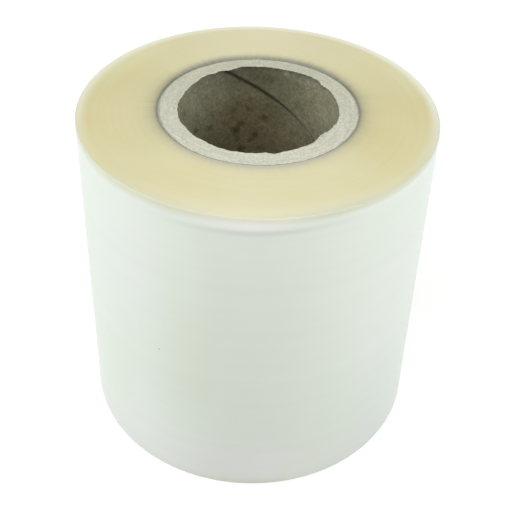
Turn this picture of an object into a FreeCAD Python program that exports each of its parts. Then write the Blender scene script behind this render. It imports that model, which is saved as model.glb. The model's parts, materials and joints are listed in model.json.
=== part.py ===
"""Roll of clear sealing film, wound on a spiral paperboard core.

Two pieces: the core, a tube of glued paperboard plies, and the film wound on it, whose turns are one
solid. The roll stands on its end. The origin is the centre of the core's bore at the lower end face,
and +Z runs up the bore. All sizes are in millimetres and all angles in degrees, seen from above.
"""

import FreeCAD
import Part

import math
import os

# Core. A 3 inch bore is what the shaft of a sealing machine takes.
CORE_BORE = 76.0
CORE_WALL = 9.5

# Film. A 0.040 polyethylene seal layer on a 0.012 polyester carrier, slit to the width of the trays.
FILM_WIDTH = 168.0
FILM_LENGTH = 300000.0
FILM_THICKNESS = 0.052

# Angle, round the roll, at which the free end of the film lies.
TAIL_ANGLE = 128.0

# Innermost ply of the core: one strip wound as a helix, with a gap where its two edges meet.
INNER_PLY_WIDTH = 131.0
INNER_PLY_THICKNESS = 0.6
SEAM_GAP = 0.8
SEAM_TOP_ANGLE = 118.8

# How far a cutting tool runs past the faces that it cuts through.
CUT_OVERRUN = 2.0

bore_radius = CORE_BORE / 2
core_radius = bore_radius + CORE_WALL

# The core is cut flush with both edges of the film.
core_length = FILM_WIDTH

# The end face of the winding is as large as the long edge of all its film.
film_edge_area = FILM_LENGTH * FILM_THICKNESS
film_radius = math.sqrt(core_radius**2 + film_edge_area / math.pi)

# The strip's edge climbs one strip width, measured along the slope, in each turn of the bore.
seam_slope = math.asin(INNER_PLY_WIDTH / (math.pi * CORE_BORE))
seam_pitch = math.pi * CORE_BORE * math.tan(seam_slope)
seam_height = SEAM_GAP / math.cos(seam_slope)

AXIS = FreeCAD.Vector(0, 0, 1)
ORIGIN = FreeCAD.Vector(0, 0, 0)


def seam_cutter():
    """The gap between the edges of the innermost ply, a band that climbs the bore as a right-hand helix."""
    start = -CUT_OVERRUN - seam_height
    rise = core_length + 2 * (CUT_OVERRUN + seam_height)
    path = Part.makeHelix(seam_pitch, rise, bore_radius)
    inside = bore_radius - INNER_PLY_THICKNESS
    outside = bore_radius + INNER_PLY_THICKNESS
    corners = [
        FreeCAD.Vector(inside, 0, -seam_height / 2),
        FreeCAD.Vector(outside, 0, -seam_height / 2),
        FreeCAD.Vector(outside, 0, seam_height / 2),
        FreeCAD.Vector(inside, 0, seam_height / 2),
    ]
    section = Part.makePolygon(corners + corners[:1])
    band = Part.Wire(path.Edges).makePipeShell([section], True, True)
    band.translate(FreeCAD.Vector(0, 0, start))
    turns_to_top = (core_length - start) / seam_pitch
    band.rotate(ORIGIN, AXIS, SEAM_TOP_ANGLE - 360 * turns_to_top)
    return band


def paperboard_core():
    """The tube that the film is wound on, with the open seam of its innermost ply down the bore."""
    tube = Part.makeCylinder(core_radius, core_length)
    tube = tube.cut(Part.makeCylinder(bore_radius, core_length))
    return tube.cut(seam_cutter())


def half_turn(centre_x, radius, first_angle):
    """Half a circle about a point of the X axis, run anticlockwise from the given angle."""
    circle = Part.Circle(FreeCAD.Vector(centre_x, 0, 0), AXIS, radius)
    first = math.radians(first_angle)
    return Part.Arc(circle, first, first + math.pi).toShape()


def film_winding():
    """All the turns of film as one solid, with the step that the free end of the film makes outside.

    The last turn is a spiral of two half circles. It comes in by one film thickness, so it meets the
    free end again on its inner side.
    """
    last_half = half_turn(0, film_radius, 0)
    first_half = half_turn(-FILM_THICKNESS / 2, film_radius - FILM_THICKNESS / 2, 180)
    free_end = Part.makeLine(
        FreeCAD.Vector(film_radius - FILM_THICKNESS, 0, 0),
        FreeCAD.Vector(film_radius, 0, 0),
    )
    outline = Part.Wire([last_half, first_half, free_end])
    winding = Part.Face(outline).extrude(AXIS * FILM_WIDTH)
    winding = winding.cut(Part.makeCylinder(core_radius, FILM_WIDTH))
    winding.rotate(ORIGIN, AXIS, TAIL_ANGLE)
    return winding


os.makedirs("parts", exist_ok=True)
paperboard_core().exportStep("parts/paperboard_core.step")
film_winding().exportStep("parts/film_winding.step")
print(f"roll {2 * film_radius:.2f} across and {FILM_WIDTH:.1f} long, seam pitch {seam_pitch:.1f}")
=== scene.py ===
import json
import math

import bpy
from mathutils import Matrix, Vector, noise


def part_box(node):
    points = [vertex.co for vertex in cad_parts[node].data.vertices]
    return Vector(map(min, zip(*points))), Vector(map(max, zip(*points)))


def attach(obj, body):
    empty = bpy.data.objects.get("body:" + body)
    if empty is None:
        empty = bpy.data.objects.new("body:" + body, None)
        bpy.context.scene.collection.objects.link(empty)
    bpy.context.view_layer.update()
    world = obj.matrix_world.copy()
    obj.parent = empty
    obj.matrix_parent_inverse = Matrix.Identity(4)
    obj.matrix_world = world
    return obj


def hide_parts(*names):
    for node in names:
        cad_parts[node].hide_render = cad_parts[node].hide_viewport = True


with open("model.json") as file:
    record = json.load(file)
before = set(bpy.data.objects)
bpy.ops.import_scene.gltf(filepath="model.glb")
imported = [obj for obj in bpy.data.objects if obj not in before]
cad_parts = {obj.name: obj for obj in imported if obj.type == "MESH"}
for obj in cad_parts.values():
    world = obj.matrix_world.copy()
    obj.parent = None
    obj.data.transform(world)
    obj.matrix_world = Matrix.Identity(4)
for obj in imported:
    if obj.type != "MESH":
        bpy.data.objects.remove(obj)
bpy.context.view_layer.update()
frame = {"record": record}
scene = bpy.context.scene

# Roll of clear sealing film, wound flush on a spiral paperboard core and stood on its end. Every piece
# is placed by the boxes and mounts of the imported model, in metres. Angles run round the bore from +X
# towards +Y, and +Y points away from the side that the roll is usually seen from, the front.


# ---- Paperboard core ----
# The tube that the film is wound on. It is made of grey recycled paperboard plies, each a strip glued
# round a mandrel as a helix, and it was sawn to length, which frayed the innermost ply at both ends.
# Down the bore the two edges of that ply stop short of each other, and the gap is an open seam.

MM = 0.001
TURN = 2 * math.pi

core_low, core_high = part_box("paperboard_core")
core_radius = (core_high.x - core_low.x) / 2
shaft_bore = next(m for m in frame["record"]["mounts"] if m["name"] == "shaft_bore")
bore_radius = shaft_bore["dims"]["r_mm"] * MM

PLY_THICKNESS = 0.6 * MM
INNER_PLY_WIDTH = 131 * MM
SEAM_GAP = 0.8 * MM
SEAM_TOP_ANGLE = math.radians(118.8)
SEAM_WIDER, SEAM_WANDER = 1.05, 0.35
SEAM_EDGE_ROUND = 0.10 * MM
PLY_EDGE_LIFT = 0.14 * MM
PLY_EDGE_LIFT_WIDTH = 0.9 * MM
WALL_WAVES = 0.10 * MM
CORE_COLUMNS = 640

seam_slope = math.asin(INNER_PLY_WIDTH / (TURN * bore_radius))
seam_pitch = TURN * bore_radius * math.tan(seam_slope)
seam_half_height = SEAM_GAP / 2 / math.cos(seam_slope)
core_angles = [TURN * i / CORE_COLUMNS for i in range(CORE_COLUMNS)]


def smooth_step(low, high, value):
    """0 below low, 1 above high, and an even S between them."""
    share = min(max((value - low) / (high - low), 0), 1)
    return share * share * (3 - 2 * share)


def point_at(angle, radius, height):
    """The point at an angle round the bore, a distance from its axis and a height."""
    return radius * math.cos(angle), radius * math.sin(angle), height


def roughness_at(angle, radius, height, size, seed):
    """Even noise from -1 to 1 with bumps of the given size. Each seed gives another stretch of it."""
    stretch = Vector((17.3 * seed, 5.1 * seed, 9.7 * seed))
    return noise.noise(Vector(point_at(angle, radius, height)) / size + stretch)


def seam_height(angle):
    """Height of the middle of the seam, where the angle counts whole turns too."""
    return core_high.z + seam_pitch * (angle - SEAM_TOP_ANGLE) / TURN


def seam_open(angle, height):
    """1 inside the open seam and 0 off it, and how far outside the seam's edge the point is."""
    above = (height - seam_height(angle)) % seam_pitch
    off_seam = min(above, seam_pitch - above)
    wander = SEAM_WANDER * roughness_at(angle, bore_radius, height, size=9 * MM, seed=1)
    half = seam_half_height * (SEAM_WIDER + wander)
    open_share = 1 - smooth_step(half - SEAM_EDGE_ROUND, half + SEAM_EDGE_ROUND, off_seam)
    return open_share, max(off_seam - half, 0)


def wall_radius(angle, height):
    """Radius of the bore's wall: the inner ply with its slight waves, and the seam that is open in it."""
    open_share, off_edge = seam_open(angle, height)
    lifted = PLY_EDGE_LIFT * math.exp(-off_edge / PLY_EDGE_LIFT_WIDTH) * (1 - open_share)
    waves = WALL_WAVES * roughness_at(angle, bore_radius, height, size=22 * MM, seed=2)
    return bore_radius + waves - lifted + open_share * (PLY_THICKNESS - waves)


# Loose fibres all round the rim: how far they stick out, and their spacing, both in millimetres.
LOOSE_FIBRES = [(0.34, 2.4), (0.40, 1.0), (0.12, 9.0)]
# Places round the rim where the saw frayed the inner plies: angle in degrees, how far they stick into
# the bore, or fall short of it where the number is negative, and how wide, both in millimetres.
FRAYED = [(-36, 2.4, 13), (-84, 1.0, 3.6), (-110, -0.5, 24), (-77, -0.6, 5), (-56, 0.7, 11), (-128, 0.4, 4),
          (-148, 0.5, 6), (165, 1.1, 18), (-173, 0.5, 9), (28, -0.8, 14), (53, -0.6, 7), (103, -0.2, 6),
          (121, -1.3, 8), (134, -1.3, 9), (-21, 0.8, 8), (-9, 0.5, 5), (5, 0.3, 4)]
# A knock has crushed the innermost plies outwards: by how many millimetres, and over which angles, in
# degrees, that grows to the full and fades away again.
CRUSHED_BY = 2.0
CRUSH_BEGINS = (37, 45)
CRUSH_ENDS = (103, 115)
# The lower end is worn in the same way, but turned round the bore by this angle in radians.
LOW_END_TURNED = 1.1


def fray(angle, seed, turned):
    """How far the frayed rim of the inner plies sticks into the bore at an angle."""
    into = 0
    for k, (size, spacing) in enumerate(LOOSE_FIBRES):
        into += size * MM * roughness_at(angle, bore_radius, 0, spacing * MM, seed + k)
    for place, size, width in FRAYED:
        arc = abs((angle - math.radians(place) - turned + math.pi) % TURN - math.pi)
        into += size * MM * math.exp(-4 * (arc * bore_radius / (width * MM)) ** 2)
    degrees = math.degrees((angle - turned) % TURN)
    crushed = smooth_step(*CRUSH_BEGINS, degrees) * (1 - smooth_step(*CRUSH_ENDS, degrees))
    return into - CRUSHED_BY * MM * crushed


# The lip, from where the wall stops up to the rim: depth below the end, how far past the bore, both in
# millimetres, and the share of the fray that reaches there.
LIP_HEIGHT = 4.3 * MM
LIP = [(3.60, 0.00, 0.04), (2.80, 0.02, 0.16), (2.10, 0.03, 0.40), (1.50, 0.03, 0.66), (1.00, 0.02, 0.85),
       (0.60, 0.00, 0.96), (0.32, 0.00, 1.00), (0.16, 0.06, 1.00), (0.07, 0.18, 1.00)]
# The sawn flat, in millimetres: where it begins past the rim and stops short of the outside, and how deep
# the cut fibres, the soft patches and the lines of glue between the plies go.
FLAT_PAST_RIM, FLAT_STOPS_SHORT = 0.36, 0.75
FIBRES_DEEP, PATCHES_DEEP, GLUE_LINES_DEEP = 0.12, 0.09, 0.03
FLAT_ROWS = 22
# The outer edge, rounded by handling: how far inside the tube's outside, and depth, in millimetres.
OUTER_ROUND = [(0.30, 0.12), (0.14, 0.13), (0.05, 0.15), (0.01, 0.18)]


def core_end_rows(end, inward, seed, turned):
    """The rows of points over one end of the core, from the bore's wall across the rim to the outside.

    Each row has one point for each column. The end is at the given height, inward is the direction along
    Z that goes into the tube, and the fray is turned round the bore by an angle.
    """
    frayed = [fray(angle, seed, turned) for angle in core_angles]
    rows = []
    for depth, past, share in LIP:
        row = []
        for angle, into in zip(core_angles, frayed):
            ragged = roughness_at(angle, bore_radius, depth * MM, size=1.4 * MM, seed=seed + 5)
            height = end + inward * depth * MM * (1 + 0.3 * ragged * share)
            open_share, _ = seam_open(angle, height)
            waves = (wall_radius(angle, height) - bore_radius) * (1 - share) * (1 - open_share)
            beyond = max(waves + past * MM - into * share, open_share * PLY_THICKNESS)
            row.append(point_at(angle, bore_radius + beyond, height))
        rows.append(row)
    flat_to = core_radius - FLAT_STOPS_SHORT * MM
    for k in range(FLAT_ROWS):
        row = []
        for angle, into in zip(core_angles, frayed):
            flat_from = bore_radius - into + FLAT_PAST_RIM * MM
            across = flat_from + (flat_to - flat_from) * k / (FLAT_ROWS - 1)
            fibres = 0.5 + 0.5 * roughness_at(angle, across, end, size=0.8 * MM, seed=seed + 3)
            patches = 0.5 + 0.5 * roughness_at(angle, across, end, size=4.0 * MM, seed=seed + 4)
            glue_line = 0.5 + 0.5 * math.cos(TURN * (across - bore_radius) / PLY_THICKNESS)
            down = (FIBRES_DEEP * fibres + PATCHES_DEEP * patches + GLUE_LINES_DEEP * glue_line) * MM
            row.append(point_at(angle, across, end + inward * down))
        rows.append(row)
    for short, depth in OUTER_ROUND:
        row = []
        for angle in core_angles:
            worn = 1 + 0.7 * roughness_at(angle, core_radius, end, size=2.6 * MM, seed=seed + 6)
            radius = core_radius - short * worn * MM
            down = depth * MM * (1 + 0.2 * roughness_at(angle, radius, end, size=1.5 * MM, seed=seed + 6))
            row.append(point_at(angle, radius, end + inward * down))
        rows.append(row)
    return rows


# The wall's rows of points run along the seam, close together beside it, at these distances in
# millimetres, and further apart elsewhere.
BESIDE_SEAM = [0, 0.2, 0.3, 0.38, 0.44, 0.50, 0.56, 0.64, 0.76, 1.0, 1.5, 2.4]
FAR_ROWS = 20
spread = [distance * MM for distance in BESIDE_SEAM]
far_from = spread[-1]
spread += [far_from + (seam_pitch / 2 - far_from) * k / FAR_ROWS for k in range(1, FAR_ROWS + 1)]
offsets = [-distance for distance in reversed(spread[1:-1])] + spread
per_turn = len(offsets)
# Turns of the seam that are sure to cover the bore, counted from where the seam meets the upper end.
TURNS_BELOW, TURNS_ABOVE = 3, 2
# A row that comes this near to an end of the wall, or goes past it, stops at that end.
ROW_MARGIN = 0.02 * MM

wall_low = core_low.z + LIP_HEIGHT
wall_high = core_high.z - LIP_HEIGHT
points = []
for height in (wall_low, wall_high):
    points += [point_at(angle, wall_radius(angle, height), height) for angle in core_angles]
found = {}


def wall_point(i, j):
    """Number of the point in a column and a row of the wall."""
    if i == CORE_COLUMNS:
        i, j = 0, j + per_turn
    angle = core_angles[i]
    height = seam_height(angle) + seam_pitch * (j // per_turn) + offsets[j % per_turn]
    if height <= wall_low + ROW_MARGIN:
        return i
    if height >= wall_high - ROW_MARGIN:
        return CORE_COLUMNS + i
    if (i, j) not in found:
        found[i, j] = len(points)
        points.append(point_at(angle, wall_radius(angle, height), height))
    return found[i, j]


WALL, CUT_END = 0, 1
faces = []
finishes = []
for i in range(CORE_COLUMNS):
    for j in range(-TURNS_BELOW * per_turn, TURNS_ABOVE * per_turn):
        corners = [wall_point(i, j), wall_point(i, j + 1), wall_point(i + 1, j + 1), wall_point(i + 1, j)]
        corners = list(dict.fromkeys(corners))
        on_one_end = {corner // CORE_COLUMNS for corner in corners} in ({0}, {1})
        if len(corners) > 2 and not on_one_end:
            faces.append(corners)
            finishes.append(WALL)

# Both ends: height, direction into the tube, seed, turn of the fray, and first point of the wall there.
core_ends = [(core_high.z, -1, 3, 0, CORE_COLUMNS), (core_low.z, 1, 4, LOW_END_TURNED, 0)]
outer_rows = []
for end, inward, seed, turned, below in core_ends:
    rows = core_end_rows(end, inward, seed, turned)
    for k, row in enumerate(rows):
        above = len(points)
        points.extend(row)
        on_flat = len(LIP) - 2 <= k <= len(rows) - len(OUTER_ROUND)
        for i in range(CORE_COLUMNS):
            n = (i + 1) % CORE_COLUMNS
            corners = [below + i, above + i, above + n, below + n]
            faces.append(corners if inward < 0 else corners[::-1])
            finishes.append(CUT_END if on_flat else WALL)
        below = above
    outer_rows.append(below)
top, low = outer_rows
for i in range(CORE_COLUMNS):
    n = (i + 1) % CORE_COLUMNS
    faces.append([top + i, low + i, low + n, top + n])
    finishes.append(WALL)


def linear(hex_colour):
    """An sRGB hex colour as the linear RGBA that a shader takes."""
    parts = [int(hex_colour[k:k + 2], 16) / 255 for k in (1, 3, 5)]
    return [p / 12.92 if p <= 0.04045 else ((p + 0.055) / 1.055) ** 2.4 for p in parts] + [1.0]


def add(tree, kind, inputs=(), **settings):
    """Adds a node with its settings, and feeds its inputs, in order or by name or number.

    Each takes a value or another node's output, and a node stands for the first of its outputs in use.
    """
    made = tree.nodes.new("ShaderNode" + kind)
    for name, value in settings.items():
        setattr(made, name, value)
    for key, value in inputs.items() if isinstance(inputs, dict) else enumerate(inputs):
        if isinstance(value, bpy.types.Node):
            value = next(output for output in value.outputs if output.enabled)
        if isinstance(value, bpy.types.NodeSocket):
            tree.links.new(value, made.inputs[key])
        else:
            made.inputs[key].default_value = value
    return made


# Settings that many nodes share: an even S instead of a straight slope for a MapRange, whose inputs are
# the value, the range that it comes from and the range that it goes to, and colours for a Mix, whose
# input 0 is the share of input 7 over input 6.
SMOOTH = {"interpolation_type": "SMOOTHSTEP"}
COLOUR = {"data_type": "RGBA"}
# Most values of a noise lie between these.
NOISE_SPAN = (0.3, 0.7)


def new_material(name):
    """An empty node material and its tree."""
    material = bpy.data.materials.new(name)
    material.use_nodes = True
    material.node_tree.nodes.clear()
    return material, material.node_tree


def near(tree, value, middle, reach):
    """1 at the middle, falling smoothly to 0 at the reach on both sides."""
    off = add(tree, "Math", [value, middle], operation="SUBTRACT")
    off = add(tree, "Math", [off], operation="ABSOLUTE")
    return add(tree, "MapRange", [off, 0.0, reach, 1.0, 0.0], **SMOOTH)


def near_angle(tree, angle, middle, reach):
    """The same for an angle round the bore, with the middle and the reach in degrees."""
    return near(tree, angle, math.radians(middle), math.radians(reach))


def shaded(tree, colour, pattern, darkest, lightest):
    """The colour, darkened where a pattern is low and lightened where it is high."""
    shade = add(tree, "MapRange", [pattern, *NOISE_SPAN, darkest, lightest])
    return add(tree, "VectorMath", {0: colour, "Scale": shade}, operation="SCALE")


def tinged(tree, colour, share, tint):
    """The colour, multiplied by the tint where the share is 1 and left where it is 0."""
    changed = add(tree, "VectorMath", [colour, tint], operation="MULTIPLY")
    return add(tree, "Mix", {0: share, 6: colour, 7: changed}, **COLOUR)


def spot(tree, at, centre, size, edge, strength):
    """The strength within the size of the centre, falling smoothly to 0 at the edge."""
    off = add(tree, "VectorMath", [at, centre], operation="DISTANCE")
    return add(tree, "MapRange", [off, size, edge, strength, 0.0], **SMOOTH)


# Inner ply, grey recycled paperboard. It is matt, and damp and handling have left it browner in places,
# with olive stains. The eye gets a dull greenish grey wall with a fine speckled grain.
inner_ply, tree = new_material("recycled paperboard inner ply")
place = add(tree, "TexCoord").outputs["Object"]
x, y, z = add(tree, "SeparateXYZ", [place]).outputs
round_bore = add(tree, "Math", [y, x], operation="ARCTAN2")
# The wall is unrolled along the helix, so that the grain runs along the strip with no break in it.
climbed = add(tree, "Math", [round_bore, -seam_pitch / TURN, z], operation="MULTIPLY_ADD")
from_seam = add(tree, "Math", [climbed, seam_height(0)], operation="SUBTRACT")
turns_past = add(tree, "Math", [from_seam, seam_pitch], operation="DIVIDE")
whole_turns = add(tree, "Math", [turns_past], operation="FLOOR")
unrolled = add(tree, "Math", [whole_turns, TURN, round_bore], operation="MULTIPLY_ADD")
arc = add(tree, "Math", [unrolled, bore_radius], operation="MULTIPLY")
flat = add(tree, "CombineXYZ", [arc, z])
strip = add(tree, "Mapping", {"Vector": flat, "Rotation": (0, 0, -seam_slope)})

# Fibres 2.5 mm long and 1 mm wide along the strip, drawn coarser than real so that they show.
fibre_space = add(tree, "Mapping", {"Vector": strip, "Scale": (1 / 2.5 / MM, 1 / MM, 1)})
fibre = add(tree, "TexNoise", {"Vector": fibre_space, "Scale": 1.0, "Detail": 3.0, "Roughness": 0.6})
# Cloudy mottling of the pulp, 9 by 6 mm, and the specks of grey, brown and green waste in it.
mottle_space = add(tree, "Mapping", {"Vector": strip, "Scale": (1 / 9 / MM, 1 / 6 / MM, 1)})
mottle = add(tree, "TexNoise", {"Vector": mottle_space, "Scale": 1.0, "Detail": 4.0, "Roughness": 0.55})
speckle = add(tree, "TexNoise", {"Vector": place, "Scale": 1 / 1.6 / MM, "Detail": 3.0, "Roughness": 0.7})
tint = add(tree, "TexNoise", {"Vector": place, "Scale": 1 / 2.4 / MM, "Detail": 3.0, "Roughness": 0.7})
pulp = add(tree, "ValToRGB", [mottle])
for stop, position, colour in zip(pulp.color_ramp.elements, (0.30, 0.72), ("#75745C", "#888872")):
    stop.position, stop.color = position, linear(colour)
browner = add(tree, "MapRange", [tint, 0.48, 0.68, 0.0, 0.25])
tinted = add(tree, "Mix", {0: browner, 6: pulp, 7: linear("#82745A")}, **COLOUR)
grained = shaded(tree, tinted, fibre, 0.90, 1.10)
specked = shaded(tree, grained, speckle, 0.68, 1.30)

# Painted shade darkens the wall just inside the rim at the back, as the shadow under the lip.
below_rim = add(tree, "Math", [core_high.z, z], operation="SUBTRACT")
back_shade_painted = add(tree, "MapRange", [below_rim, 2 * MM, 16 * MM, 0.44, 0.0], **SMOOTH)
back_shade_painted = add(tree, "Math", [back_shade_painted, near_angle(tree, round_bore, 99, 62)], operation="MULTIPLY")
# Painted light makes the right side lighter, more so further down the bore.
right_wall_painted_light = add(tree, "MapRange", [below_rim, 2 * MM, 22 * MM, 0.14, 0.56], **SMOOTH)
right_wall_painted_light = add(tree, "Math", [right_wall_painted_light, near_angle(tree, round_bore, 24, 64)], operation="MULTIPLY")
lighter = add(tree, "Math", [right_wall_painted_light, back_shade_painted], operation="SUBTRACT")
tone = add(tree, "Math", [lighter, 1.0], operation="ADD")
board = add(tree, "VectorMath", {0: specked, "Scale": tone}, operation="SCALE")
# Places shifted a few millimetres by noise, which gives the damp and the stains their uneven outlines.
blur = add(tree, "TexNoise", {"Vector": place, "Scale": 1 / 3.0 / MM, "Detail": 4.0, "Roughness": 0.65})
shift = add(tree, "VectorMath", [blur.outputs["Color"], (0.5, 0.5, 0.5)], operation="SUBTRACT")
moved = add(tree, "VectorMath", [shift, (6 * MM,) * 3, place], operation="MULTIPLY_ADD")


def on_wall(degrees, depth):
    """A point of the bore's wall, at an angle and a depth in millimetres below the upper end."""
    return point_at(math.radians(degrees), bore_radius, core_high.z - depth * MM)


# The ply is yellower round the back, browner low on the right, and dark where damp got in at the back.
board = tinged(tree, board, near_angle(tree, round_bore, 97, 48), (0.98, 0.955, 0.89))
brown = spot(tree, moved, on_wall(62, 38), 3 * MM, 17 * MM, 1.0)
board = tinged(tree, board, brown, (1.22, 1.15, 1.12))
damp = spot(tree, moved, on_wall(104, 39), 10 * MM, 34 * MM, 0.80)
board = tinged(tree, board, damp, (0.88, 0.77, 0.66))

# Stains: angle in degrees, depth below the upper end and size in millimetres, and strength.
STAINS = [(108.5, 36, 3.3, 0.95), (104, 32.5, 2.6, 0.75), (106.5, 41, 2.0, 0.60), (98, 23.5, 2.2, 0.65),
          (86, 29, 2.2, 0.65), (93, 39.5, 2.3, 0.85), (97.5, 43, 2.4, 0.55), (104, 48.5, 2.6, 0.75),
          (146, 28, 2.3, 0.60), (131, 30.5, 2.2, 0.60), (110, 23.5, 2.0, 0.40), (89, 48, 2.4, 0.45),
          (79, 44, 1.8, 0.35), (162, 12, 3.0, 0.30), (118, 31, 1.5, 0.30),
          (-60, 60, 4.0, 0.5), (-20, 88, 5.0, 0.5), (40, 120, 5.0, 0.45), (170, 110, 4.5, 0.45),
          (-110, 96, 4.0, 0.4), (-150, 140, 4.0, 0.4)]
stained = 0.0
for degrees, depth, size, strength in STAINS:
    stain = spot(tree, moved, on_wall(degrees, depth), 0.25 * size * MM, 1.25 * size * MM, strength)
    stained = add(tree, "Math", [stained, stain], operation="MAXIMUM")
ply_colour = add(tree, "Mix", {0: stained, 6: board, 7: linear("#43411F")}, **COLOUR)

# The gap shows the glue and the ply behind, which are darker, and painted shade deepens it. The glue that
# was squeezed out of it has darkened the edge of the ply too, and painted shade of the gap's edge is
# added there, more above the gap than below it, and most of all near the upper end.
GLUE_MIDDLE = 0.4 * MM
above_middle = add(tree, "Math", [turns_past, GLUE_MIDDLE / seam_pitch], operation="SUBTRACT")
half_up = add(tree, "Math", [above_middle, 0.5], operation="PINGPONG")
mm_off_seam = add(tree, "Math", [half_up, seam_pitch / MM], operation="MULTIPLY")
smeared = add(tree, "MapRange", [below_rim, 0.0, 30 * MM, 2.1, 1.4])
glue_and_shade_share = add(tree, "MapRange", [below_rim, 17 * MM, 34 * MM, 0.97, 0.35])
gap_glue_and_shade = add(tree, "MapRange", [mm_off_seam, 0.3, smeared, glue_and_shade_share, 0.0], **SMOOTH)
glued_and_shaded = add(tree, "Mix", {0: gap_glue_and_shade, 6: ply_colour, 7: linear("#38331F")}, **COLOUR)
# Painted shadow under the crushed and torn lip darkens the wall just below the rim round the back,
# and more at its very edge on the right.
back_lip_shadow = add(tree, "MapRange", [below_rim, 0.6 * MM, 5.0 * MM, 0.46, 0.0], **SMOOTH)
back_lip_shadow = add(tree, "Math", [back_lip_shadow, near_angle(tree, round_bore, 97, 100)], operation="MULTIPLY")
right_lip_shadow = add(tree, "MapRange", [below_rim, 0.9 * MM, 2.4 * MM, 0.24, 0.0], **SMOOTH)
right_lip_shadow = add(tree, "Math", [right_lip_shadow, near_angle(tree, round_bore, 40, 46)], operation="MULTIPLY")
rim_shadow_share = add(tree, "Math", [back_lip_shadow, right_lip_shadow], operation="ADD")
rim_tone = add(tree, "Math", [1.0, rim_shadow_share], operation="SUBTRACT")
shadowed_rim = add(tree, "VectorMath", {0: glued_and_shaded, "Scale": rim_tone}, operation="SCALE")
# Pale fibres were torn up at one place of it.
from_tear = add(tree, "VectorMath", [moved, on_wall(71, 0.4)], operation="DISTANCE")
tear = add(tree, "MapRange", [from_tear, 0.4 * MM, 2.6 * MM, 0.30, 0.0])
wall_colour = add(tree, "Mix", {0: tear, 6: shadowed_rim, 7: linear("#C8C9B4")}, **COLOUR)
relief = add(tree, "Math", [fibre, speckle], operation="ADD")
bump = add(tree, "Bump", {"Height": relief, "Distance": 0.10 * MM, "Strength": 0.5})
surface = add(tree, "BsdfPrincipled", {"Base Color": wall_colour, "Roughness": 0.86,
              "Specular IOR Level": 0.3, "Normal": bump})
add(tree, "OutputMaterial", [surface])


def end_face_place(tree):
    """A point's place on an end face, its distance and direction from the axis, and the direction's parts.

    The first part is how far it points to the right, and the second how far it points to the back.
    """
    place = add(tree, "TexCoord").outputs["Object"]
    x, y, _ = add(tree, "SeparateXYZ", [place]).outputs
    flat = add(tree, "CombineXYZ", [x, y])
    out = add(tree, "VectorMath", [flat], operation="LENGTH")
    heading = add(tree, "VectorMath", [flat], operation="NORMALIZE")
    to_right, away, _ = add(tree, "SeparateXYZ", [heading]).outputs
    return place, out, heading, to_right, away


def along_rings(tree, heading, out, length, width):
    """Coordinates for marks that run round the axis, as long as length at the core and as wide as width."""
    round_part = add(tree, "VectorMath", {0: heading, "Scale": core_radius / length}, operation="SCALE")
    out_part = add(tree, "Math", [out, 1 / width], operation="MULTIPLY")
    lifted = add(tree, "CombineXYZ", {"Z": out_part})
    return add(tree, "VectorMath", [round_part, lifted], operation="ADD")


# Sawn end of the paperboard. The cut fibres stand up, which makes it paler than the plies' faces. The eye
# gets soft grey and cream patches, fine marks along the plies, and a few dark flecks of waste.
cut_end, tree = new_material("sawn paperboard end")
place, out, heading, to_right, away = end_face_place(tree)

# Patches of the pulp 5 mm across, cut fibres of 1.2 mm in tufts, drawn coarser than real, marks of the
# plies 7 mm long, and flecks of 1.5 mm.
patch = add(tree, "TexNoise", {"Vector": place, "Scale": 1 / 5.0 / MM, "Detail": 4.0, "Roughness": 0.6})
fibre = add(tree, "TexNoise", {"Vector": place, "Scale": 1 / 1.2 / MM, "Detail": 3.0, "Roughness": 0.7})
marks_at = along_rings(tree, heading, out, 7 * MM, 1.2 * MM)
marks = add(tree, "TexNoise", {"Vector": marks_at, "Scale": 1.0, "Detail": 3.0, "Roughness": 0.6})
flecks = add(tree, "TexNoise", {"Vector": place, "Scale": 1 / 1.5 / MM})
pale = add(tree, "ValToRGB", [patch])
for stop, position, colour in zip(pale.color_ramp.elements, (0.36, 0.64), ("#CBCCBB", "#D0CDB9")):
    stop.position, stop.color = position, linear(colour)
sawn = shaded(tree, pale, fibre, 0.81, 1.14)
marked = shaded(tree, sawn, marks, 0.88, 1.08)
fleck_share = add(tree, "MapRange", [flecks, 0.69, 0.76, 0.0, 0.55])
flecked = add(tree, "Mix", {0: fleck_share, 6: marked, 7: linear("#77745F")}, **COLOUR)
# Painted shade darkens the outermost ply where the film's first turns meet it, most of all at both sides.
join_shade_wander = add(tree, "MapRange", [patch, *NOISE_SPAN, -0.35 * MM, 0.35 * MM])
front_by = add(tree, "MapRange", [away, -1.0, -0.55, -1.0 * MM, 0.3 * MM])
back_by = add(tree, "MapRange", [away, 0.2, 0.8, 0.0, 0.9 * MM])
left_by = add(tree, "MapRange", [to_right, -0.5, -1.0, 0.0, 0.35 * MM])
back_by = add(tree, "Math", [back_by, left_by], operation="SUBTRACT")
turn_by = add(tree, "Math", [front_by, back_by], operation="SUBTRACT")
join_shade_out = add(tree, "Math", [out, join_shade_wander], operation="ADD")
join_shade_out = add(tree, "Math", [join_shade_out, turn_by], operation="ADD")
join_shade_edges = (core_radius - 1.0 * MM, core_radius - 0.1 * MM)
ring_join_shade = add(tree, "MapRange", [join_shade_out, *join_shade_edges, 0.0, 0.6], **SMOOTH)
ring_join_shaded = add(tree, "Mix", {0: ring_join_shade, 6: flecked, 7: linear("#86857A")}, **COLOUR)
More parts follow.
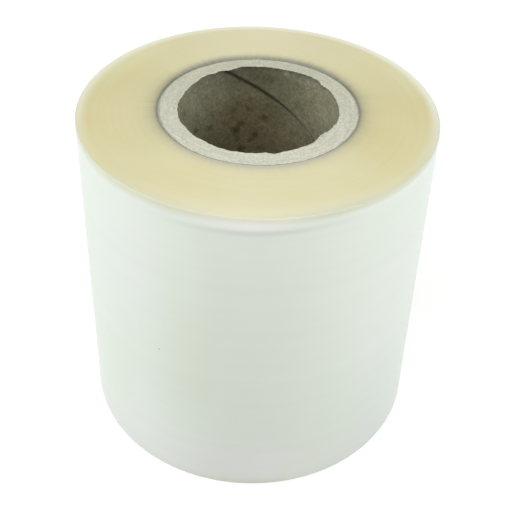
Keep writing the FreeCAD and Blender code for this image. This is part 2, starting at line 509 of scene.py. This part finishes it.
# Painted shade makes the back of the ring a little darker, and painted light makes the front a little
# lighter and cooler.
back_shade_painted = add(tree, "MapRange", [away, -1.0, 0.8, 0.0, 1.0])
shade = add(tree, "Mix", {0: back_shade_painted, 6: (1.02, 1.03, 1.05, 1), 7: (0.92, 0.925, 0.90, 1)}, **COLOUR)
end_colour = add(tree, "VectorMath", [ring_join_shaded, shade], operation="MULTIPLY")
relief = add(tree, "Math", [marks, fibre], operation="ADD")
bump = add(tree, "Bump", {"Height": relief, "Distance": 0.25 * MM, "Strength": 0.8})
surface = add(tree, "BsdfPrincipled", {"Base Color": end_colour, "Roughness": 0.92,
              "Specular IOR Level": 0.2, "Normal": bump})
add(tree, "OutputMaterial", [surface])


def new_piece(name, points, faces, finishes, materials, flat_faces=()):
    """A smooth-shaded mesh object, with the material of each face and the faces that stay flat."""
    mesh = bpy.data.meshes.new(name)
    mesh.from_pydata(points, [], faces)
    for material in materials:
        mesh.materials.append(material)
    mesh.polygons.foreach_set("material_index", finishes)
    mesh.polygons.foreach_set("use_smooth", [True] * len(mesh.polygons))
    for number in flat_faces:
        mesh.polygons[number].use_smooth = False
    mesh.update()
    piece = bpy.data.objects.new(name, mesh)
    scene.collection.objects.link(piece)
    return piece


core = new_piece("core", points, faces, finishes, [inner_ply, cut_end])
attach(core, "root")
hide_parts("paperboard_core")


# ---- Wound film ----
# Hundreds of turns of clear film, a polyethylene seal layer on a thin polyester carrier, wound tight on
# the core and slit flush with it. The free end of the film clings to the turn below, at the back.

film_low, film_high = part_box("film_winding")
film_radius = (film_high.x - film_low.x) / 2

FILM_THICKNESS = 0.052 * MM
TAIL_ANGLE = math.radians(128)
TAIL_LIFT = 0.06 * MM
TAIL_LIFT_WIDTH = 5 * MM
OUTER_TURNS_SLACK = 0.16 * MM
SIDE_WAVES, SIDE_HOOPS = 0.05 * MM, 0.012 * MM
END_SUNK = 0.10 * MM
END_BANDS, END_UNEVEN = 0.030 * MM, 0.035 * MM
FILM_COLUMNS = 480

# Angles of the columns, counted from the free end of the film. Those on both sides of it are close to it.
BESIDE_FREE_END = 0.25 * MM / film_radius
turns = [TURN * i / FILM_COLUMNS for i in range(FILM_COLUMNS + 1)]
turns[1] = BESIDE_FREE_END
turns[-2] = TURN - BESIDE_FREE_END


def end_depth(angle, radius, end, seed):
    """How far the edges of the turns lie below the end face: turns wander a little as they are wound.

    The radius is stretched against the 12 mm noise, which gives bands of turns 0.9 and 0.3 mm wide.
    """
    bands = roughness_at(0, radius * 14, end, size=12 * MM, seed=seed)
    bands += 0.5 * roughness_at(0, radius * 40, end, size=12 * MM, seed=seed + 1)
    uneven = roughness_at(angle, radius, end, size=30 * MM, seed=seed + 2)
    return END_SUNK + END_BANDS * bands + END_UNEVEN * uneven


# The slit edge of the last turns has shrunk a little round the front: a band near the upper end leans
# inward and ends in a low ridge. These are its half width, how far it leans and the ridge stands in, and
# the depths between which each does so.
FRONT = -math.pi / 2
BAND_REACH = math.radians(26)
BAND_LEAN, BAND_RIDGE = 0.10 * MM, 0.12 * MM
LEAN_DEPTHS, RIDGE_DEPTHS = (0.5 * MM, 6.6 * MM), (6.4 * MM, 8.0 * MM)


def edge_band(angle, depth):
    """How far the outermost turns lie inside the widest ones, near the upper end."""
    round_front = abs((angle - FRONT + math.pi) % TURN - math.pi)
    here = math.exp(-(round_front / BAND_REACH) ** 2)
    lean = BAND_LEAN * (1 - smooth_step(*LEAN_DEPTHS, depth))
    ridge = BAND_RIDGE * smooth_step(*RIDGE_DEPTHS, depth)
    return here * (lean + ridge)


def outer_radius(turned, height):
    """Radius of the outermost turn, at an angle counted from the free end of the film."""
    angle = TAIL_ANGLE + turned
    step = FILM_THICKNESS * turned / TURN
    waves = SIDE_WAVES * roughness_at(angle, film_radius, height, size=45 * MM, seed=31)
    hoops = SIDE_HOOPS * roughness_at(0, film_radius, height * 3, size=12 * MM, seed=32)
    lifted = TAIL_LIFT * math.exp(-(turned * film_radius / TAIL_LIFT_WIDTH) ** 2)
    band = edge_band(angle, film_high.z - height)
    return film_radius - OUTER_TURNS_SLACK - step + waves + hoops + lifted - band


# Rows over an end, in millimetres: how far past the core and how deep at the inner edge, where the even
# steps over the face begin and stop short, and how far inside the outermost turn and how much deeper
# than the face on the worn corner.
INNER_EDGE = [(0.00, 0.17), (0.03, 0.14), (0.10, 0.12), (0.25, 0.11)]
FACE_PAST_CORE, FACE_STOPS_SHORT = 0.45, 0.85
WORN_CORNER = [(0.50, 0.03), (0.28, 0.10), (0.12, 0.24), (0.03, 0.46)]
FACE_STEPS = 54
# Rows down the side: depths in millimetres near both ends, and even steps between them.
BAND_DEPTHS = [0.8, 1.6, 2.6, 3.6, 4.6, 5.6, 6.2, 6.6, 7.0, 7.4, 7.8, 8.4, 9.4, 11.5, 15]
SIDE_STEPS = 24


def face_rows(end, inward, seed):
    """The closed rows over one end of the winding, each point as radius and height, out to the corner."""
    rows = []
    for past, depth in INNER_EDGE:
        rows.append([(core_radius + past * MM, end + inward * depth * MM)] * FILM_COLUMNS)
    first = core_radius + FACE_PAST_CORE * MM
    for k in range(FACE_STEPS + 1):
        row = []
        for turned in turns[:-1]:
            last = outer_radius(turned, end) - FACE_STOPS_SHORT * MM
            radius = first + (last - first) * k / FACE_STEPS
            row.append((radius, end + inward * end_depth(TAIL_ANGLE + turned, radius, end, seed)))
        rows.append(row)
    return rows


def corner_rows(end, inward):
    """The rows over the worn corner. They have one more point, past the step that the free end makes."""
    rows = []
    for short, depth in WORN_CORNER:
        height = end + inward * (depth * MM + END_SUNK)
        rows.append([(outer_radius(turned, height) - short * MM, height) for turned in turns])
    return rows


high_heights = [film_high.z - depth * MM for depth in BAND_DEPTHS]
low_heights = [film_low.z + depth * MM for depth in reversed(BAND_DEPTHS)]
gap = high_heights[-1] - low_heights[0]
between = [high_heights[-1] - gap * k / SIDE_STEPS for k in range(1, SIDE_STEPS)]
all_rows = face_rows(film_high.z, -1, 41) + corner_rows(film_high.z, -1)
for height in high_heights + between + low_heights:
    all_rows.append([(outer_radius(turned, height), height) for turned in turns])
all_rows += corner_rows(film_low.z, 1)[::-1] + face_rows(film_low.z, 1, 51)[::-1]
film_points = []
row_starts = []
for row in all_rows:
    row_starts.append(len(film_points))
    for turned, (radius, height) in zip(turns, row):
        film_points.append(point_at(TAIL_ANGLE + turned, radius, height))

END_FACE, SIDE = 0, 1
film_faces = []
film_finishes = []
free_end = []
for k, row in enumerate(all_rows):
    n = (k + 1) % len(all_rows)
    here, there, next_row = row_starts[k], row_starts[n], all_rows[n]
    both_open = len(row) > FILM_COLUMNS and len(next_row) > FILM_COLUMNS
    for i in range(FILM_COLUMNS):
        there_next = there + (i + 1) % len(next_row)
        here_next = here + (i + 1) % len(row)
        film_faces.append([here + i, there + i, there_next, here_next])
        film_finishes.append(SIDE if both_open else END_FACE)
    # The face that stands across the step, where the film ends.
    past_step = [start + FILM_COLUMNS for start, points_in in ((here, row), (there, next_row))
                 if len(points_in) > FILM_COLUMNS]
    if past_step:
        free_end.append(len(film_faces))
        film_faces.append(past_step + [there, here])
        film_finishes.append(SIDE)


# Slit ends of the film, where light has gone through hundreds of turns and come out cream. The grey core
# shows through the first few millimetres, the last few are whiter with painted light, and the slitter left
# fine marks.
film_end, tree = new_material("slit polyethylene and polyester film edges")
place, out, heading, to_right, away = end_face_place(tree)
past_core = add(tree, "Math", [out, core_radius], operation="SUBTRACT")
at_front = near(tree, away, -1.0, 0.6)
at_back = add(tree, "MapRange", [away, 0.2, 0.95, 0.0, 1.0], **SMOOTH)


def toward_rim(tree, out, start, full, strength=1.0):
    """0 at the start and the strength at full, both in millimetres inside the outermost turn."""
    across = (film_radius - start * MM, film_radius - full * MM)
    return add(tree, "MapRange", [out, *across, 0.0, strength], **SMOOTH)


# Cloudy differences in winding tension, 40 mm across, and faint rings about 1.5 mm apart, of a few
# turns each, drawn coarser than the real turns so that they show.
cloud = add(tree, "TexNoise", {"Vector": place, "Scale": 1 / 40 / MM})
rings_at = along_rings(tree, heading, out, 40 * MM, 1.5 * MM)
rings = add(tree, "TexNoise", {"Vector": rings_at, "Scale": 1.0, "Detail": 4.0, "Roughness": 0.6})
cream = add(tree, "ValToRGB", [cloud])
for stop, position, colour in zip(cream.color_ramp.elements, (0.32, 0.68), ("#CEC695", "#D0CA9F")):
    stop.position, stop.color = position, linear(colour)
body = shaded(tree, cream, rings, 0.982, 1.014)

# The core's grey shows through the turns next to it. It fades over 2 to 4 mm, as exp(-(past / reach) **
# power), and reaches furthest at the back. Soft radial streaks, 1 mm and 3 mm wide, run through it.
fine_at = add(tree, "VectorMath", {0: heading, "Scale": core_radius / MM}, operation="SCALE")
fine = add(tree, "TexNoise", {"Vector": fine_at, "Scale": 1.0})
broad_at = add(tree, "VectorMath", {0: heading, "Scale": core_radius / (3 * MM)}, operation="SCALE")
broad = add(tree, "TexNoise", {"Vector": broad_at, "Scale": 1.0})
reach = add(tree, "Math", [at_front, 0.35 * MM, 2.7 * MM], operation="MULTIPLY_ADD")
reach = add(tree, "Math", [at_back, 0.6 * MM, reach], operation="MULTIPLY_ADD")
stretch = add(tree, "MapRange", [broad, 0.35, 0.65, 0.91, 1.09])
reach = add(tree, "Math", [reach, stretch], operation="MULTIPLY")
power = add(tree, "Math", [at_front, 0.45, 0.85], operation="MULTIPLY_ADD")
power = add(tree, "Math", [at_back, 0.95, power], operation="MULTIPLY_ADD")
# The grey stays even for a millimetre at the front and the back before it fades.
even_front = add(tree, "MapRange", [away, -1.0, -0.6, 1.0 * MM, 0.0])
even_back = add(tree, "MapRange", [away, 0.1, 0.8, 0.0, 1.15 * MM])
past_grey = add(tree, "Math", [past_core, even_front], operation="SUBTRACT")
past_grey = add(tree, "Math", [past_grey, even_back], operation="SUBTRACT")
share = add(tree, "Math", [past_grey, reach], operation="DIVIDE")
share = add(tree, "Math", [share, 0.0], operation="MAXIMUM")
share = add(tree, "Math", [share, power], operation="POWER")
fallen = add(tree, "Math", [share, -1.0], operation="MULTIPLY")
falling = add(tree, "Math", [fallen], operation="EXPONENT")
veil_by_angle = add(tree, "MapRange", [near(tree, away, 0.0, 1.10), 0.0, 1.0, 0.49, 0.96])
veil_more_at_back = add(tree, "MapRange", [away, 0.1, 0.9, 0.0, 0.31])
veil_by_angle = add(tree, "Math", [veil_by_angle, veil_more_at_back], operation="ADD")
spoke = add(tree, "MapRange", [fine, *NOISE_SPAN, 0.89, 1.11])
veil = add(tree, "Math", [falling, veil_by_angle], operation="MULTIPLY")
veil = add(tree, "Math", [veil, spoke], operation="MULTIPLY")
greyer = add(tree, "MapRange", [away, -1.0, 0.4, 0.0, 1.0])
grey = add(tree, "Mix", {0: greyer, 6: linear("#868C8C"), 7: linear("#5F6351")}, **COLOUR)
veiled = add(tree, "Mix", {0: veil, 6: body, 7: grey}, **COLOUR)
# Painted shade: a dark line where the first turns meet the core, faint at the front and the back.
line_noise = add(tree, "TexNoise", {"Vector": place, "Scale": 1 / 3.5 / MM, "Detail": 3.0, "Roughness": 0.6})
line_share = add(tree, "MapRange", [line_noise, 0.35, 0.65, 0.55, 1.0])
off_sides = add(tree, "Math", [away, away], operation="MULTIPLY")
line_turn = add(tree, "MapRange", [off_sides, 0.0, 0.9, 0.25, 0.0])
line_across = add(tree, "MapRange", [past_core, 0.2 * MM, 1.5 * MM, 1.0, 0.0], **SMOOTH)
join_shadow_line = add(tree, "Math", [line_share, line_turn], operation="MULTIPLY")
join_shadow_line = add(tree, "Math", [join_shadow_line, line_across], operation="MULTIPLY")
join_shadow_lined = add(tree, "Mix", {0: join_shadow_line, 6: veiled, 7: linear("#4C4D3E")}, **COLOUR)
# Painted shade makes the turns at both sides, a little to the front, warmer and darker, and a painted
# sheen makes the front lighter and cooler.
off_least_sheen = add(tree, "Math", [away, 0.13], operation="ADD")
off_least_sheen = add(tree, "Math", [off_least_sheen, off_least_sheen], operation="MULTIPLY")
no_sheen_share = add(tree, "MapRange", [off_least_sheen, 0.0, 0.32, 0.8, 0.0])
sides_without_sheen = tinged(tree, join_shadow_lined, no_sheen_share, (0.99, 0.965, 0.90))
front_painted_sheen = tinged(tree, sides_without_sheen, at_front, (1.015, 1.02, 1.07))
# The outer third is greener at the back right and back left, and a little on both sides of the front.
green_back = near(tree, away, 0.42, 0.42)
green_turn = add(tree, "Math", [near(tree, away, -0.5, 0.3), 0.45, green_back], operation="MULTIPLY_ADD")
green = add(tree, "Math", [green_turn, toward_rim(tree, out, 17, 6.5)], operation="MULTIPLY")
greened = tinged(tree, front_painted_sheen, green, (1.04, 1.09, 1.15))
# Painted light: the outermost turns are painted whiter, most of all at the back, for the light that comes
# through them.
rim_light_turn = add(tree, "MapRange", [away, -0.6, 0.1, 0.12, 0.95])
for side, more in ((at_front, 0.16), (near(tree, away, 1.0, 0.25), -0.20), (to_right, 0.12)):
    rim_light_turn = add(tree, "Math", [side, more, rim_light_turn], operation="MULTIPLY_ADD")
rim_from = add(tree, "MapRange", [away, -1.0, -0.6, film_radius - 14 * MM, film_radius - 6.2 * MM])
rim_across = add(tree, "MapRange", [out, rim_from, film_radius - 0.4 * MM, 0.0, 1.0], **SMOOTH)
rim_painted_light = add(tree, "Math", [rim_light_turn, rim_across], operation="MULTIPLY")
rim_lit = add(tree, "Mix", {0: rim_painted_light, 6: greened, 7: linear("#E5E7D6")}, **COLOUR)
# The corner is greyer round the front and the left, but less at the very front.
front_left = add(tree, "Math", [to_right, 0.25, away], operation="MULTIPLY_ADD")
dull_turn = add(tree, "MapRange", [front_left, -0.5, -0.1, 0.7, 0.0])
dull = add(tree, "Math", [dull_turn, toward_rim(tree, out, 0.9, 0.35)], operation="MULTIPLY")
less_dull = add(tree, "MapRange", [near(tree, away, -1.0, 0.08), 0.0, 1.0, 1.0, 0.55])
dull = add(tree, "Math", [dull, less_dull], operation="MULTIPLY")
dull_colour = linear("#BFBFA9")
dulled = add(tree, "Mix", {0: dull, 6: rim_lit, 7: dull_colour}, **COLOUR)
# At the front right the dulling starts about 5 mm further in.
front_right = add(tree, "Math", [to_right, away], operation="SUBTRACT")
soft_turn = add(tree, "MapRange", [front_right, 0.7, 1.35, 0.0, 0.26], **SMOOTH)
grey_and_painted_shade = add(tree, "Math", [soft_turn, toward_rim(tree, out, 5.5, 1.0)], operation="MULTIPLY")
# Painted shade adds a little more of it on both sides of the front, 28 degrees round from it.
BESIDE_FRONT = math.radians(62)
sideways = add(tree, "Math", [to_right], operation="ABSOLUTE")
beside = add(tree, "Math", [sideways, math.cos(BESIDE_FRONT)], operation="MULTIPLY")
beside = add(tree, "Math", [away, -math.sin(BESIDE_FRONT), beside], operation="MULTIPLY_ADD")
more = toward_rim(tree, out, 8, 3, 0.2)
grey_and_painted_shade = add(tree, "Math", [near(tree, beside, 1.0, 0.06), more, grey_and_painted_shade], operation="MULTIPLY_ADD")
end_colour = add(tree, "Mix", {0: grey_and_painted_shade, 6: dulled, 7: dull_colour}, **COLOUR)
bump = add(tree, "Bump", {"Height": rings, "Distance": 0.05 * MM, "Strength": 0.35})
# The edges of the turns lie round the axis like brushed rings, which spreads the gloss across them.
round_way = add(tree, "Tangent", direction_type="RADIAL", axis="Z")
surface = add(tree, "BsdfPrincipled", {"Base Color": end_colour, "Roughness": 0.50, "IOR": 1.50,
              "Anisotropic": 0.9, "Tangent": round_way, "Normal": bump})
add(tree, "OutputMaterial", [surface])

# Outside of the roll: many layers of clear glossy film over each other, which look milky white with a
# touch of green, and creamier within a few millimetres of the ends.
film_side, tree = new_material("glossy layered clear film")
place = add(tree, "TexCoord").outputs["Object"]
x, y, z = add(tree, "SeparateXYZ", [place]).outputs
round_roll = add(tree, "Math", [y, x], operation="ARCTAN2")
below_top = add(tree, "Math", [film_high.z, z], operation="SUBTRACT")
above_low = add(tree, "Math", [z, film_low.z], operation="SUBTRACT")
# Clouds 45 mm wide and 160 mm high, and gauge bands: hoops round the roll 9 mm high, where the film is a
# trace thicker.
cloud_at = add(tree, "Mapping", {"Vector": place, "Scale": (1 / 45 / MM, 1 / 45 / MM, 1 / 160 / MM)})
cloud = add(tree, "TexNoise", {"Vector": cloud_at, "Scale": 1.0})
hoop_at = add(tree, "Math", [z, 1 / 9 / MM], operation="MULTIPLY")
hoop_space = add(tree, "CombineXYZ", {"Z": hoop_at})
hoops = add(tree, "TexNoise", {"Vector": hoop_space, "Scale": 1.0, "Detail": 3.0})
milky = add(tree, "ValToRGB", [cloud])
for stop, position, colour in zip(milky.color_ramp.elements, (0.32, 0.68), ("#D7DED0", "#DBE0D8")):
    stop.position, stop.color = position, linear(colour)
layered = shaded(tree, milky, hoops, 0.985, 1.015)
# Creamy light from the slit edges reaches a few millimetres inside the turns. At the lower end it shows
# faintly, and a little more at the front.
left_angle, right_angle = math.radians(-150), math.radians(-40)
reach = add(tree, "MapRange", [round_roll, left_angle, right_angle, 6.2 * MM, 3.8 * MM])
creamy_top = add(tree, "MapRange", [below_top, 1.0 * MM, reach, 1.0, 0.0], **SMOOTH)
creamy_low = add(tree, "MapRange", [above_low, 0.5 * MM, 5.0 * MM, 1.0, 0.0], **SMOOTH)
low_front = near_angle(tree, round_roll, -88, 22)
low_share = add(tree, "Math", [low_front, 0.4, 0.12], operation="MULTIPLY_ADD")
creamy = add(tree, "Math", [creamy_low, low_share, creamy_top], operation="MULTIPLY_ADD")
creamed = add(tree, "Mix", {0: creamy, 6: layered, 7: linear("#CFD0B7")}, **COLOUR)
# The upper corner is matt and a greyer colour.
corner = add(tree, "MapRange", [below_top, 0.3 * MM, 1.7 * MM, 1.0, 0.0], **SMOOTH)
dulled = add(tree, "Math", [corner, 0.5], operation="MULTIPLY")
topped = add(tree, "Mix", {0: dulled, 6: creamed, 7: linear("#C9CABB")}, **COLOUR)
matt = add(tree, "MapRange", [corner, 0.0, 1.0, 0.36, 0.80])
glaze = add(tree, "MapRange", [corner, 0.0, 0.5, 0.15, 0.0])

# At the front the last turns shrank near the upper end, and their band catches and loses the light there:
# a whitish crescent 5 mm high and a lighter corner above it are painted highlights, and a dim line under it
# is painted shade. The crescent and the line rise towards the right.
rise_angles = (math.radians(-88), math.radians(-66))
narrower = add(tree, "MapRange", [round_roll, *rise_angles, 0.0, 1.9 * MM])
sunk = add(tree, "Math", [below_top, narrower], operation="ADD")
highlight_arc = near_angle(tree, round_roll, -91, 24)
shade_arc = near_angle(tree, round_roll, -89, 40)
crescent_highlight = (highlight_arc, near(tree, sunk, 3.8 * MM, 4.6 * MM), 0.65, "#EEEAEA")
corner_highlight = (highlight_arc, near(tree, below_top, 0.6 * MM, 2.2 * MM), 0.34, "#E8E7CC")
shade_line = (shade_arc, near(tree, sunk, 8.1 * MM, 2.5 * MM), 0.26, "#AEB3AA")
side_colour = topped
for arc, height, strength, colour in (crescent_highlight, corner_highlight, shade_line):
    share = add(tree, "Math", [arc, height], operation="MULTIPLY")
    share = add(tree, "Math", [share, strength], operation="MULTIPLY")
    side_colour = add(tree, "Mix", {0: share, 6: side_colour, 7: linear(colour)}, **COLOUR)
# The lowest 35 mm are a trace pinker at the front, painted shade greys the side low on the right, most
# at the bottom, and there is a clearer cloud low on the left. Each has its share of the height, its middle
# and reach in degrees, and tint.
pinker = (near(tree, above_low, 12 * MM, 24 * MM), -92, 90, (1.06, 1.01, 1.08))
low_right_shade = add(tree, "MapRange", [above_low, 15 * MM, 105 * MM, 1.0, 0.0], **SMOOTH)
greyer = (low_right_shade, -34, 42, (0.88, 0.90, 0.90))
clearer = (near(tree, above_low, 32 * MM, 38 * MM), -114, 26, (1.03, 1.03, 1.07))
for height, middle, reach, tint in (pinker, greyer, clearer):
    arc = near_angle(tree, round_roll, middle, reach)
    share = add(tree, "Math", [height, arc], operation="MULTIPLY")
    side_colour = tinged(tree, side_colour, share, tint)
# Away from the front it is a trace cooler.
cooler = add(tree, "VectorMath", [side_colour, (0.98, 1.01, 1.03)], operation="MULTIPLY")
in_front = near_angle(tree, round_roll, -85, 85)
side_colour = add(tree, "Mix", {0: in_front, 6: cooler, 7: side_colour}, **COLOUR)
# A speck of dirt that went in under the last turn, 0.5 mm across.
speck_at = point_at(math.radians(-119), film_radius, film_low.z + 82 * MM)
off_speck = add(tree, "VectorMath", [place, speck_at], operation="DISTANCE")
speck = add(tree, "MapRange", [off_speck, 0.25 * MM, 0.55 * MM, 0.7, 0.0])
side_colour = add(tree, "Mix", {0: speck, 6: side_colour, 7: linear("#6E6F5C")}, **COLOUR)
bump = add(tree, "Bump", {"Height": hoops, "Distance": 0.04 * MM, "Strength": 0.3})
surface = add(tree, "BsdfPrincipled", {"Base Color": side_colour, "Roughness": matt, "IOR": 1.52,
              "Specular Tint": (0.86, 1.0, 0.92, 1.0), "Coat Weight": glaze, "Coat Roughness": 0.15,
              "Normal": bump})
add(tree, "OutputMaterial", [surface])

film = new_piece("film", film_points, film_faces, film_finishes, [film_end, film_side], free_end)
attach(film, "root")
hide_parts("film_winding")


# ---- Floor, light and camera ----
# A plain white floor and surround, with large soft boxes at both sides and the back, and smaller ones
# over the front and low in front. The floor and the surround look white to the camera and in the film's
# gloss, and the floor glows more the further it is from the roll, so that it keeps the roll's shadow.

FLOOR_SIZE = 6.0
FLOOR_GAP = 0.05 * MM
bpy.ops.mesh.primitive_plane_add(size=FLOOR_SIZE, location=(0, 0, film_low.z - FLOOR_GAP))
floor = bpy.context.object
floor.name = "floor"


def seen_straight(tree):
    """1 for the rays of the camera, of reflections and of clear material, and 0 for diffuse light."""
    rays = add(tree, "LightPath").outputs
    seen = add(tree, "Math", [rays["Is Camera Ray"], rays["Is Glossy Ray"]], operation="MAXIMUM")
    return add(tree, "Math", [seen, rays["Is Transmission Ray"]], operation="MAXIMUM")


# The floor's glow: the metres from the roll at which it begins to grow and is full, and its least share.
GLOW_FROM, GLOW_FULL, GLOW_LEAST = 0.35, 1.2, 0.57
white_floor, tree = new_material("white studio floor")
place = add(tree, "TexCoord").outputs["Object"]
from_roll = add(tree, "VectorMath", [place], operation="LENGTH")
full_glow = add(tree, "MapRange", [from_roll, GLOW_FROM, GLOW_FULL, GLOW_LEAST, 1.0])
glow_share = add(tree, "Math", [seen_straight(tree), full_glow], operation="MULTIPLY")
paint = add(tree, "BsdfDiffuse", {"Color": linear("#B8B8B6")})
glow = add(tree, "Emission", {"Color": (1, 1, 1, 1), "Strength": glow_share})
both = add(tree, "AddShader", [paint, glow])
add(tree, "OutputMaterial", [both])
floor.data.materials.append(white_floor)

# The surround is white where it is seen, and lights the roll by a fifth of that.
SURROUND_LIGHT = 0.20
world = bpy.data.worlds.new("white surround")
scene.world = world
world.use_nodes = True
tree = world.node_tree
tree.nodes.clear()
strength = add(tree, "MapRange", [seen_straight(tree), 0.0, 1.0, SURROUND_LIGHT, 1.0])
sky = add(tree, "Background", {"Color": (1, 1, 1, 1), "Strength": strength})
add(tree, "OutputWorld", [sky])

# Soft boxes: name, place and size in metres, and watts. They point at the middle of the roll.
SOFT_BOXES = [("left", (-0.95, 0, 0.45), 0.7, 7.8), ("right", (0.95, 0, 0.45), 0.7, 7.3),
              ("front", (0, -0.34, 0.48), 0.25, 1.0), ("low front", (0, -0.75, 0.14), 0.24, 1.05),
              ("back", (0, 0.95, 0.75), 0.7, 3.0)]
middle = Vector((0, 0, film_high.z / 2))
for name, place, size, watts in SOFT_BOXES:
    lamp = bpy.data.lights.new(name, "AREA")
    lamp.shape = "SQUARE"
    lamp.size = size
    lamp.energy = watts
    soft_box = bpy.data.objects.new(name, lamp)
    soft_box.location = place
    soft_box.rotation_euler = (middle - Vector(place)).to_track_quat("-Z", "Y").to_euler()
    soft_box.visible_camera = False
    scene.collection.objects.link(soft_box)

# The camera looks down by 36 degrees from in front, a little turned about its own axis. Its lens is
# shifted to frame the roll.
ELEVATION = math.radians(35.62)
ROLL = math.radians(2.21)
DISTANCE = 469.3 * MM
TARGET = Vector((4.41 * MM, 0, 126.35 * MM))
SENSOR_WIDTH, FOCAL_LENGTH = 36, 66.68
SHIFT_RIGHT, SHIFT_UP = -0.0176, -0.1484
camera_data = bpy.data.cameras.new("camera")
camera = bpy.data.objects.new("camera", camera_data)
scene.collection.objects.link(camera)
camera_data.sensor_width = SENSOR_WIDTH
camera_data.lens = FOCAL_LENGTH
camera_data.shift_x = SHIFT_RIGHT
camera_data.shift_y = SHIFT_UP
camera_data.clip_start = 0.01
camera_data.clip_end = 50
back = Vector((0, -math.cos(ELEVATION), math.sin(ELEVATION)))
right = Vector((1, 0, 0))
up = back.cross(right)
turned_right = right * math.cos(ROLL) + up * math.sin(ROLL)
turned_up = up * math.cos(ROLL) - right * math.sin(ROLL)
facing = Matrix((turned_right, turned_up, back)).transposed()
camera.matrix_world = Matrix.Translation(TARGET + back * DISTANCE) @ facing.to_4x4()
scene.camera = camera

scene.view_settings.view_transform = "Standard"
